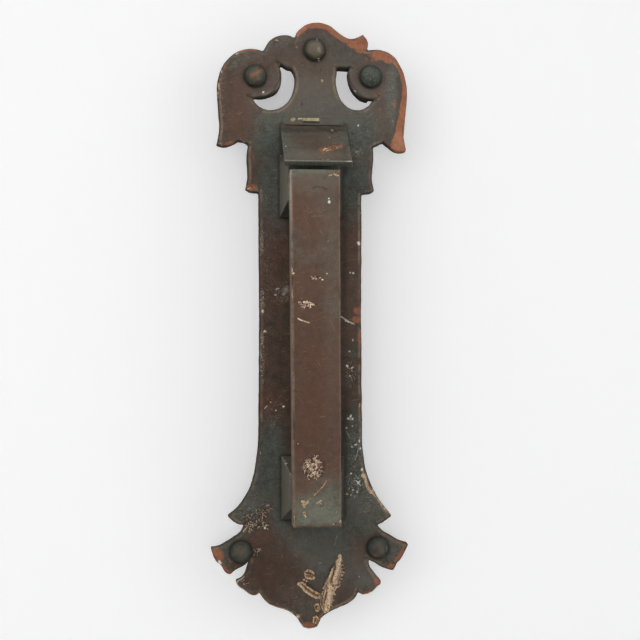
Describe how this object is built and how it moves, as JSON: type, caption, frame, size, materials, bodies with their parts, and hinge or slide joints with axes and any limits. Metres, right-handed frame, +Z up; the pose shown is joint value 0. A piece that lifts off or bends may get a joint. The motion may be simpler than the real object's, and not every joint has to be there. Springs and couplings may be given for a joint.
{
  "type": "door knocker",
  "caption": "Hand-made patinated copper-alloy door knocker: lobed and winged sawn back plate, sloping hood, hinged rectangular striker arm, raised hinge and strike blocks, dome-headed nails.",
  "frame": {"origin": "centre of the plate's waist on its flat back face", "axes": "+Z up the door with the cresting at the top, +Y out of the back face into the door, -Y towards the visitor, +X to the visitor's right"},
  "size_m": [0.1126, 0.0627, 0.3452],
  "materials": {
    "plate_patina": "dark brown and green-grey patina, edges worn to bare copper",
    "hood_patina": "green-grey patina with an orange rub mark",
    "block_patina": "dark green-grey patina",
    "arm_patina": "warm brown satin patina, long edges worn bright, verdigris at the foot",
    "nail_patina": "hammered green-grey patina",
    "braze": "brazing brass, dulled, bright where rubbed",
    "rivet_copper": "dull copper",
    "pin_metal": "dark oiled steel"
  },
  "bodies": {
    "plate_assembly": {"back_plate": "plate_patina", "hood": "hood_patina", "hood_braze_seam": "braze", "hinge_block": "block_patina", "strike_block": "block_patina", "hinge_knuckle": "rivet_copper", "dome_nail_top_centre": "nail_patina", "dome_nail_top_left": "nail_patina", "dome_nail_top_right": "nail_patina", "dome_nail_bottom_left": "nail_patina", "dome_nail_bottom_right": "nail_patina", "hinge_block_rivet_left": "rivet_copper", "hinge_block_rivet_right": "rivet_copper", "strike_block_rivet_upper": "rivet_copper", "strike_block_rivet_lower": "rivet_copper"},
    "striker": {"striker_arm": "arm_patina", "hinge_pin": "pin_metal"}
  },
  "joints": [
    {"name": "arm_hinge", "type": "hinge", "parent": "plate_assembly", "child": "striker", "pos_m": [0, -0.0296, 0.0778], "axis": [-1, 0, 0], "range_deg": [0, 72]}
  ]
}
